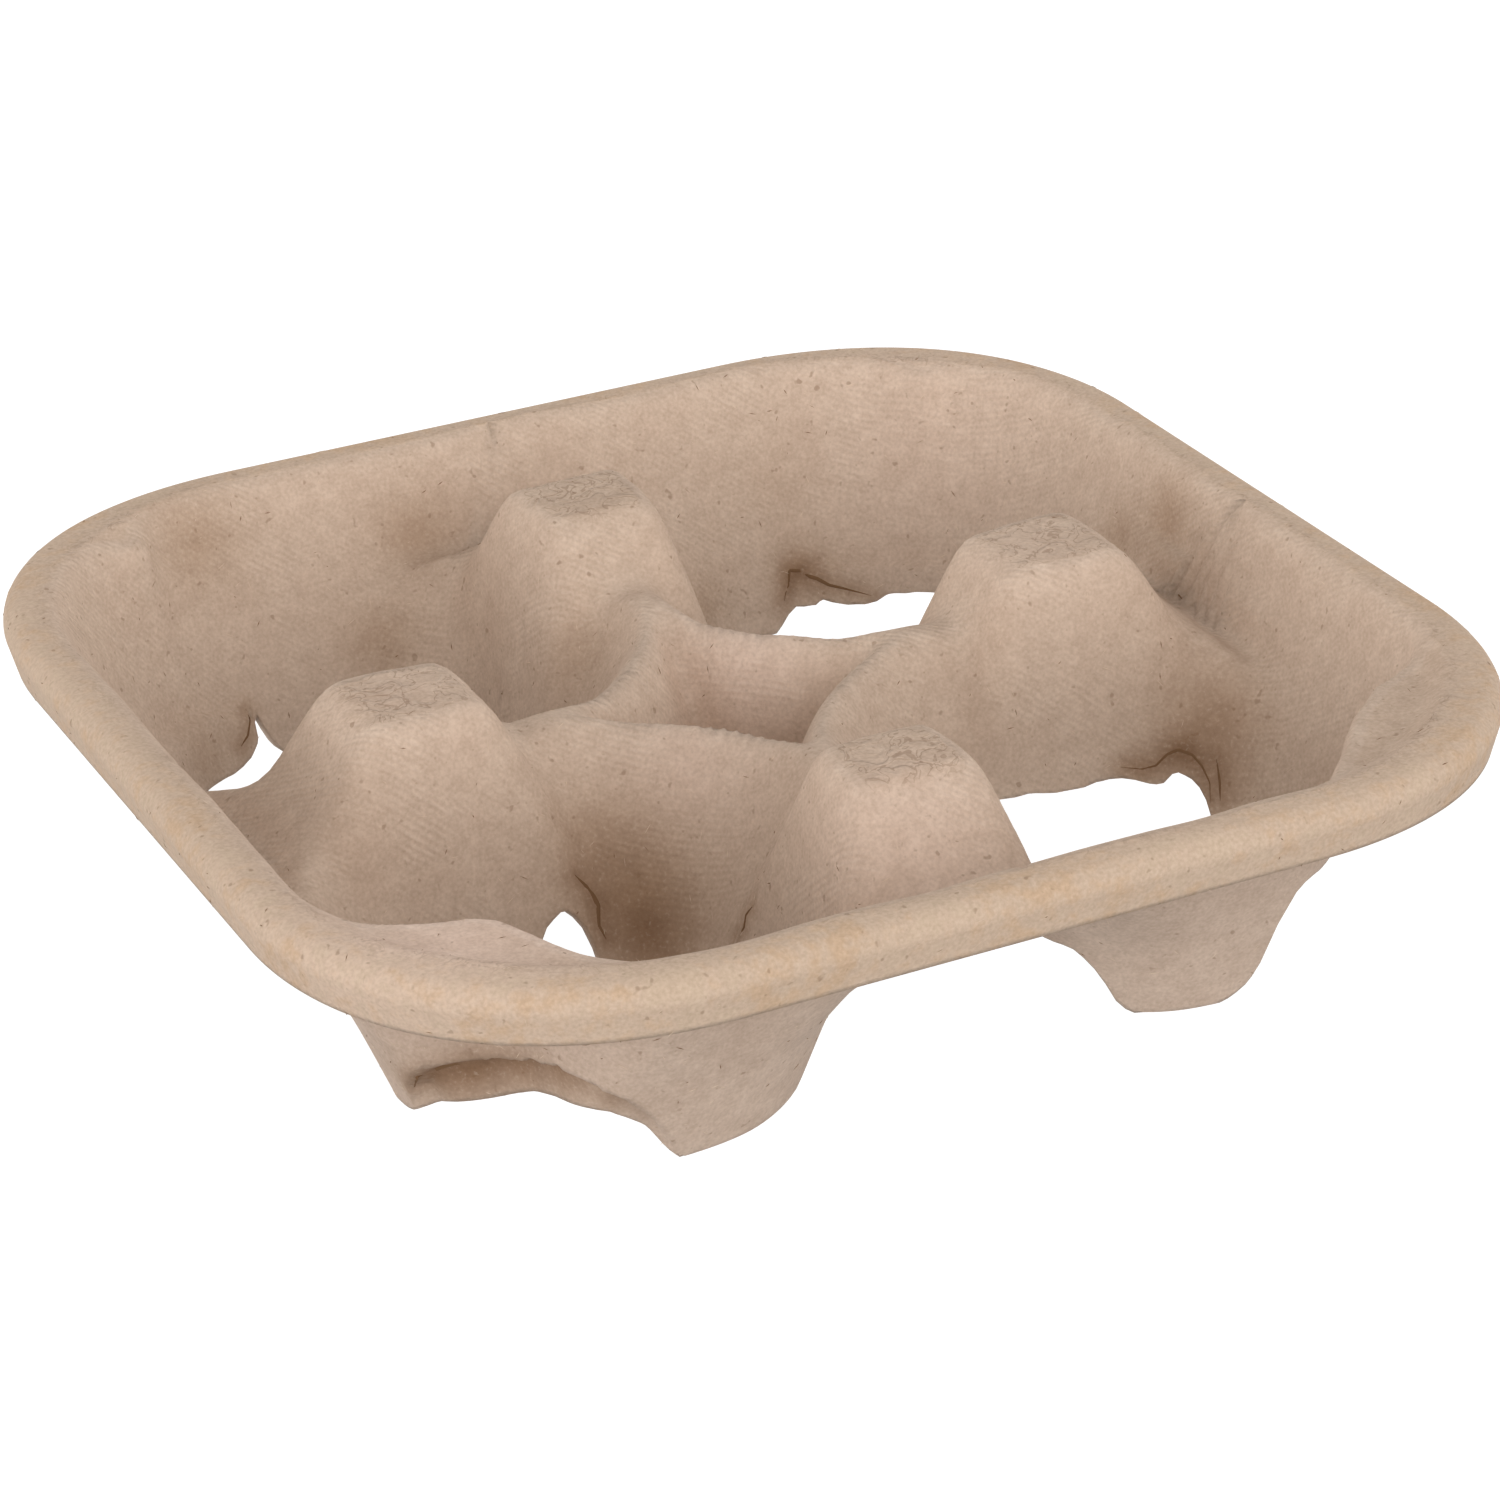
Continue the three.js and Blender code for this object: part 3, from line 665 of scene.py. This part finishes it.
# The screen shows in patches on the inner walls; the flat tops are wrinkled, with a dark line wherever
# the wrinkle noise passes its middle value.
share = add_node(tree, "ShaderNodeMapRange", {"Value": pattern["cloud"], "From Min": 0.42, "From Max": 0.6,
                                              "To Min": 0.1}).outputs["Result"]
patch = add_node(tree, "ShaderNodeMath", {0: mask["inside"], 1: share}, operation="MULTIPLY").outputs[0]
lines = add_node(tree, "ShaderNodeMath", {0: patch, 1: screen}, operation="MULTIPLY").outputs[0]
blotch = add_node(tree, "ShaderNodeMath", {0: pattern["cloud"], 1: pattern["mottle"]},
                  operation="ADD").outputs[0]
crossing = add_node(tree, "ShaderNodeMath", {0: pattern["wrinkle"], 1: 0.5, 2: 0.022},
                    operation="COMPARE").outputs[0]
swell = add_node(tree, "ShaderNodeMath", {0: mask["wrinkled"], 1: pattern["wrinkle"]},
                 operation="MULTIPLY").outputs[0]

fade = add_node(tree, "ShaderNodeMapRange", {"Value": pattern["cloud"], "From Min": 0.3,
                                             "From Max": 0.7}).outputs["Result"]
base = add_node(tree, "ShaderNodeMix", {0: fade, 6: linear("#D2B9A3"), 7: linear("#DBC3AD")},
                data_type="RGBA").outputs[2]
# the tone attribute carries the pulp's own tones together with the painted shade and painted light
base = add_node(tree, "ShaderNodeMix", {0: 1.0, 6: base, 7: tones}, data_type="RGBA",
                blend_type="MULTIPLY").outputs[2]
# blend, where, what it follows, that value's range, the strength at each end of it, colour
LAYERS = [
    ("MIX", "rim", blotch, (0.98, 1.22), (0.0, 0.5), "#C9A580"),
    ("MIX", "rim", blotch, (0.95, 0.78), (0.0, 0.5), "#E0C9B0"),
    ("MULTIPLY", None, pattern["mottle"], (0.35, 0.7), (0.16, 0.0), "#A08A74"),
    ("MULTIPLY", None, pattern["grain"], (0.3, 0.6), (0.2, 0.0), "#A08A74"),
    ("MIX", None, pattern["grain"], (0.6, 0.75), (0.0, 0.18), "#E9D8C6"),
    ("MIX", None, pattern["flecks"], (0.7, 0.78), (0.0, 0.4), "#7C5C40"),
    ("MULTIPLY", None, lines, (0.2, 1.0), (0.0, 0.08), "#A58F78"),
    ("MULTIPLY", "wrinkled", crossing, (0.0, 1.0), (0.0, 0.35), "#A08A74"),
]
for blend, where, value, (low, high), (weak, strong), colour in LAYERS:
    amount = add_node(tree, "ShaderNodeMapRange", {"Value": value, "From Min": low, "From Max": high,
                                                   "To Min": weak, "To Max": strong}).outputs["Result"]
    if where:
        amount = add_node(tree, "ShaderNodeMath", {0: mask[where], 1: amount},
                          operation="MULTIPLY").outputs[0]
    base = add_node(tree, "ShaderNodeMix", {0: amount, 6: base, 7: linear(colour)}, data_type="RGBA",
                    blend_type=blend).outputs[2]

# relief: what it follows, strength, depth in millimetres
RELIEF = [(pattern["grain"], 0.35, 0.2), (lines, 0.45, 0.2), (swell, 0.8, 1.4), (pattern["mottle"], 0.5, 0.6)]
normal = None
for value, strength, depth in RELIEF:
    inputs = {"Height": value, "Strength": strength, "Distance": depth * MM}
    if normal:
        inputs["Normal"] = normal
    normal = add_node(tree, "ShaderNodeBump", inputs).outputs["Normal"]
shader = add_node(tree, "ShaderNodeBsdfPrincipled", {"Base Color": base, "Normal": normal, "Roughness": 0.95,
                                                     "Specular IOR Level": 0.2})
add_node(tree, "ShaderNodeOutputMaterial", {"Surface": shader.outputs["BSDF"]})
tray_mesh.materials.append(pulp)
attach(tray, "root")
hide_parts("tray")

# Slits and folds
# Thin dark ribbons on the pocket walls along the torn and folded lines, half sunk into the sheet and
# pointed at both ends: the rough brown inside of the pulp, darkened as painted shade in the gaps and
# folds; on the near corner's outer face one stands for the shadow under the torn lip.
SLIT_RISE = 0.12
SLIT_DEPTH = 0.2
SLIT_END = 0.02


def plain_pulp(name, colour):
    """Matt pulp of one colour, for the dark ribbons of painted shade along torn lines and for fibres that are
    too small to show a pattern.
    """
    material = bpy.data.materials.new(name)
    material.use_nodes = True
    surface = material.node_tree.nodes["Principled BSDF"]
    surface.inputs["Base Color"].default_value = linear(colour)
    surface.inputs["Roughness"].default_value = 1.0
    surface.inputs["Specular IOR Level"].default_value = 0.1
    return material


def add_piece(name, corners, facets, material):
    """Adds a mesh that rides on the tray, for the pulp's fibres and for the dark ribbons of painted shade."""
    mesh = bpy.data.meshes.new(name)
    mesh.from_pydata((corners * MM).tolist(), [], facets.tolist())
    mesh.materials.append(material)
    piece = bpy.data.objects.new(name, mesh)
    bpy.context.scene.collection.objects.link(piece)
    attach(piece, "root")


corners = []
facets = []
offset = 0
for (line, upward), (k, side, widest, marks) in zip(slit_lines, SLITS):
    run = np.gradient(line, axis=0)
    run /= np.linalg.norm(run, axis=1, keepdims=True)
    across = np.cross(upward, run)
    share = np.linspace(0.0, 1.0, len(line))
    wide = (widest * np.sin(math.pi * share) / 2.0 + SLIT_END)[:, None]
    section = np.stack((line + across * wide, line + upward * SLIT_RISE, line - across * wide,
                        line - upward * SLIT_DEPTH), axis=1)
    rows = offset + 4 * np.arange(len(line) - 1)[:, None]
    for a, b in ((0, 1), (1, 2), (2, 3), (3, 0)):
        facets.append(np.concatenate((rows + a, rows + b, rows + 4 + b, rows + 4 + a), axis=1))
    facets.append(np.array([[offset + 3, offset + 2, offset + 1, offset]]))
    last = offset + 4 * (len(line) - 1)
    facets.append(np.array([[last, last + 1, last + 2, last + 3]]))
    corners.append(section.reshape(-1, 3))
    offset += 4 * len(line)
slit_shade_pulp = plain_pulp("torn_pulp_and_painted_shade", "#7C5E44")
add_piece("torn_slits_and_shade", np.concatenate(corners), np.concatenate(facets), slit_shade_pulp)

# Loose fibres
# Short paper fibres lie on every face of the sheet: most are a little paler than the pulp, some are
# dark brown, and a few long ones stand out.
LIGHT_FIBRES = 1500
DARK_FIBRES = 700
LIGHT_LENGTHS = (0.5, 2.4)
DARK_LENGTHS = (0.4, 1.8)
LIGHT_WIDTHS = (0.06, 0.14)
DARK_WIDTHS = (0.08, 0.2)
FIBRE_LIFT = 0.02
LOWEST_FIBRE = 1.2
# the long ones: brown or not, two ends, width
STRANDS = [
    (False, (-15.6, 46.6, 25.3), (-15.0, 46.8, 27.9), 0.25),
    (True, (81.1, -19.6, 24.4), (85.8, -21.2, 26.4), 0.25),
    (True, (90.6, 6.8, 27.9), (90.1, 3.1, 27.4), 0.35),
]


def spindles(middles, along, across, upward, lengths, widths):
    """Thin closed spindles, pointed at both ends and square in the middle, as points and triangles."""
    half = along * lengths[:, None] / 2.0
    wide = across * widths[:, None] / 2.0
    thick = upward * widths[:, None] / 2.0
    corners = np.stack((middles - half, middles + half, middles + wide, middles + thick,
                        middles - wide, middles - thick), axis=1)
    ring = [(2, 3), (3, 4), (4, 5), (5, 2)]
    facets = np.array([(0, b, a) for a, b in ring] + [(1, a, b) for a, b in ring])
    index = facets[None, :, :] + 6 * np.arange(len(middles))[:, None, None]
    return corners.reshape(-1, 3), index.reshape(-1, 3)


draw = np.random.default_rng(5)
lengths = np.concatenate((draw.uniform(*LIGHT_LENGTHS, LIGHT_FIBRES),
                          draw.uniform(*DARK_LENGTHS, DARK_FIBRES)))
widths = np.concatenate((draw.uniform(*LIGHT_WIDTHS, LIGHT_FIBRES),
                         draw.uniform(*DARK_WIDTHS, DARK_FIBRES)))
chosen = draw.choice(len(points), LIGHT_FIBRES + DARK_FIBRES, replace=False)
upward = normals[chosen]
along = np.cross(upward, draw.normal(size=upward.shape))
along /= np.linalg.norm(along, axis=1, keepdims=True)
across = np.cross(upward, along)
middles = points[chosen] + FIBRE_LIFT * upward
middles[:, 2] = np.maximum(middles[:, 2], LOWEST_FIBRE)
brown = np.arange(len(chosen)) >= LIGHT_FIBRES
for is_brown, start, end, width in STRANDS:
    run = np.array(end) - np.array(start)
    length = np.linalg.norm(run)
    aside = np.cross(run / length, (0.0, 0.0, 1.0))
    aside /= np.linalg.norm(aside)
    brown = np.append(brown, is_brown)
    middles = np.vstack((middles, (np.array(start) + np.array(end)) / 2.0))
    along = np.vstack((along, run / length))
    across = np.vstack((across, aside))
    upward = np.vstack((upward, np.cross(aside, run / length)))
    lengths = np.append(lengths, length)
    widths = np.append(widths, width)
pale_pulp = plain_pulp("pale_paper_fibre", "#DDC8B2")
brown_pulp = plain_pulp("brown_paper_fibre", "#86684E")
for name, some, material in (("pale_fibres", ~brown, pale_pulp), ("brown_fibres", brown, brown_pulp)):
    add_piece(name, *spindles(middles[some], along[some], across[some], upward[some], lengths[some],
                              widths[some]), material)

# Floor
# White paper that glows, so that no shadow shows on it; the tray isn't lit by it.
FLOOR_HALF = 60.0
FLOOR_GLOW = 1.0
floor_mesh = bpy.data.meshes.new("floor")
floor_corners = [(x * FLOOR_HALF, y * FLOOR_HALF, 0.0) for x, y in ((-1, -1), (1, -1), (1, 1), (-1, 1))]
floor_mesh.from_pydata(floor_corners, [], [(0, 1, 2, 3)])
floor = bpy.data.objects.new("floor", floor_mesh)
bpy.context.scene.collection.objects.link(floor)
floor.visible_diffuse = False
paper = bpy.data.materials.new("white_background_paper")
paper.use_nodes = True
paper_shader = paper.node_tree.nodes["Principled BSDF"]
paper_shader.inputs["Base Color"].default_value = linear("#7C7C7C")
paper_shader.inputs["Roughness"].default_value = 1.0
paper_shader.inputs["Specular IOR Level"].default_value = 0.0
paper_shader.inputs["Emission Color"].default_value = (1.0, 1.0, 1.0, 1.0)
paper_shader.inputs["Emission Strength"].default_value = FLOOR_GLOW
floor_mesh.materials.append(paper)

# Light tent
# Bright low down at the front and left, dimmer at the right and back, and dim overhead. Each side's
# light falls off as the square of the cosine of the angle from it, and changes evenly with height.
GROUND = 0.36
BAND = math.radians(30.0)
# direction of each side, and its brightness at 0, 30 and 60 degrees up: front, right, back, left
TENT = [
    ((0.0, -1.0, 0.0), (2.3, 2.0, 0.3)),
    ((1.0, 0.0, 0.0), (1.0, 1.1, 0.3)),
    ((0.0, 1.0, 0.0), (1.0, 0.8, 0.6)),
    ((-1.0, 0.0, 0.0), (3.6, 0.6, 0.3)),
]
world = bpy.data.worlds.new("light_tent")
world.use_nodes = True
sky = world.node_tree
direction = add_node(sky, "ShaderNodeTexCoord", {}).outputs["Generated"]
rise = add_node(sky, "ShaderNodeSeparateXYZ", {0: direction}).outputs["Z"]
climb = add_node(sky, "ShaderNodeMath", {0: rise}, operation="ARCSINE").outputs[0]
level = add_node(sky, "ShaderNodeVectorMath", {0: direction, 1: (1.0, 1.0, 0.0)},
                 operation="MULTIPLY").outputs[0]
level = add_node(sky, "ShaderNodeVectorMath", {0: level}, operation="NORMALIZE").outputs[0]
glow = 0.0
for side, (low, middle, high) in TENT:
    facing = add_node(sky, "ShaderNodeVectorMath", {0: level, 1: side},
                      operation="DOT_PRODUCT").outputs["Value"]
    facing = add_node(sky, "ShaderNodeMath", {0: facing, 1: 0.0}, operation="MAXIMUM").outputs[0]
    lobe = add_node(sky, "ShaderNodeMath", {0: facing, 1: facing}, operation="MULTIPLY").outputs[0]
    near = add_node(sky, "ShaderNodeMapRange", {"Value": climb, "From Min": 0.0, "From Max": BAND,
                                                "To Min": low, "To Max": middle}).outputs["Result"]
    far = add_node(sky, "ShaderNodeMapRange", {"Value": climb, "From Min": BAND, "From Max": 2.0 * BAND,
                                               "To Min": 0.0, "To Max": high - middle}).outputs["Result"]
    bright = add_node(sky, "ShaderNodeMath", {0: near, 1: far}, operation="ADD").outputs[0]
    glow = add_node(sky, "ShaderNodeMath", {0: lobe, 1: bright, 2: glow}, operation="MULTIPLY_ADD").outputs[0]
above = add_node(sky, "ShaderNodeMath", {0: rise, 1: 0.0}, operation="GREATER_THAN").outputs[0]
glow = add_node(sky, "ShaderNodeMix", {0: above, 2: GROUND, 3: glow}, data_type="FLOAT").outputs[0]
background = sky.nodes["Background"]
background.inputs["Color"].default_value = (1.0, 1.0, 1.0, 1.0)
sky.links.new(glow, background.inputs["Strength"])
bpy.context.scene.world = world
bpy.context.scene.view_settings.view_transform = "Standard"

# Camera
# A long lens, a little left of the tray's front, looking down on it, turned slightly round its axis.
CAMERA_AZIMUTH = math.radians(-25.465)
CAMERA_ELEVATION = math.radians(26.419)
CAMERA_ROLL = math.radians(-2.0886)
CAMERA_DISTANCE = 824.1
CAMERA_ASIDE = (-1.82, -19.51)
FOCAL_LENGTH = 115.315

back = Vector((
    math.sin(CAMERA_AZIMUTH) * math.cos(CAMERA_ELEVATION),
    -math.cos(CAMERA_AZIMUTH) * math.cos(CAMERA_ELEVATION),
    math.sin(CAMERA_ELEVATION),
))
aside = Vector((math.cos(CAMERA_AZIMUTH), math.sin(CAMERA_AZIMUTH), 0.0))
upright = back.cross(aside)
right = math.cos(CAMERA_ROLL) * aside + math.sin(CAMERA_ROLL) * upright
up = -math.sin(CAMERA_ROLL) * aside + math.cos(CAMERA_ROLL) * upright
place = back * CAMERA_DISTANCE - right * CAMERA_ASIDE[0] - up * CAMERA_ASIDE[1]
camera_data = bpy.data.cameras.new("camera")
camera_data.lens = FOCAL_LENGTH
camera_data.sensor_width = 36.0
camera_data.clip_start = 0.01
camera_data.clip_end = 300.0
camera = bpy.data.objects.new("camera", camera_data)
camera.matrix_world = Matrix((
    (right.x, up.x, back.x, place.x * MM),
    (right.y, up.y, back.y, place.y * MM),
    (right.z, up.z, back.z, place.z * MM),
    (0.0, 0.0, 0.0, 1.0),
))
bpy.context.scene.collection.objects.link(camera)
bpy.context.scene.camera = camera
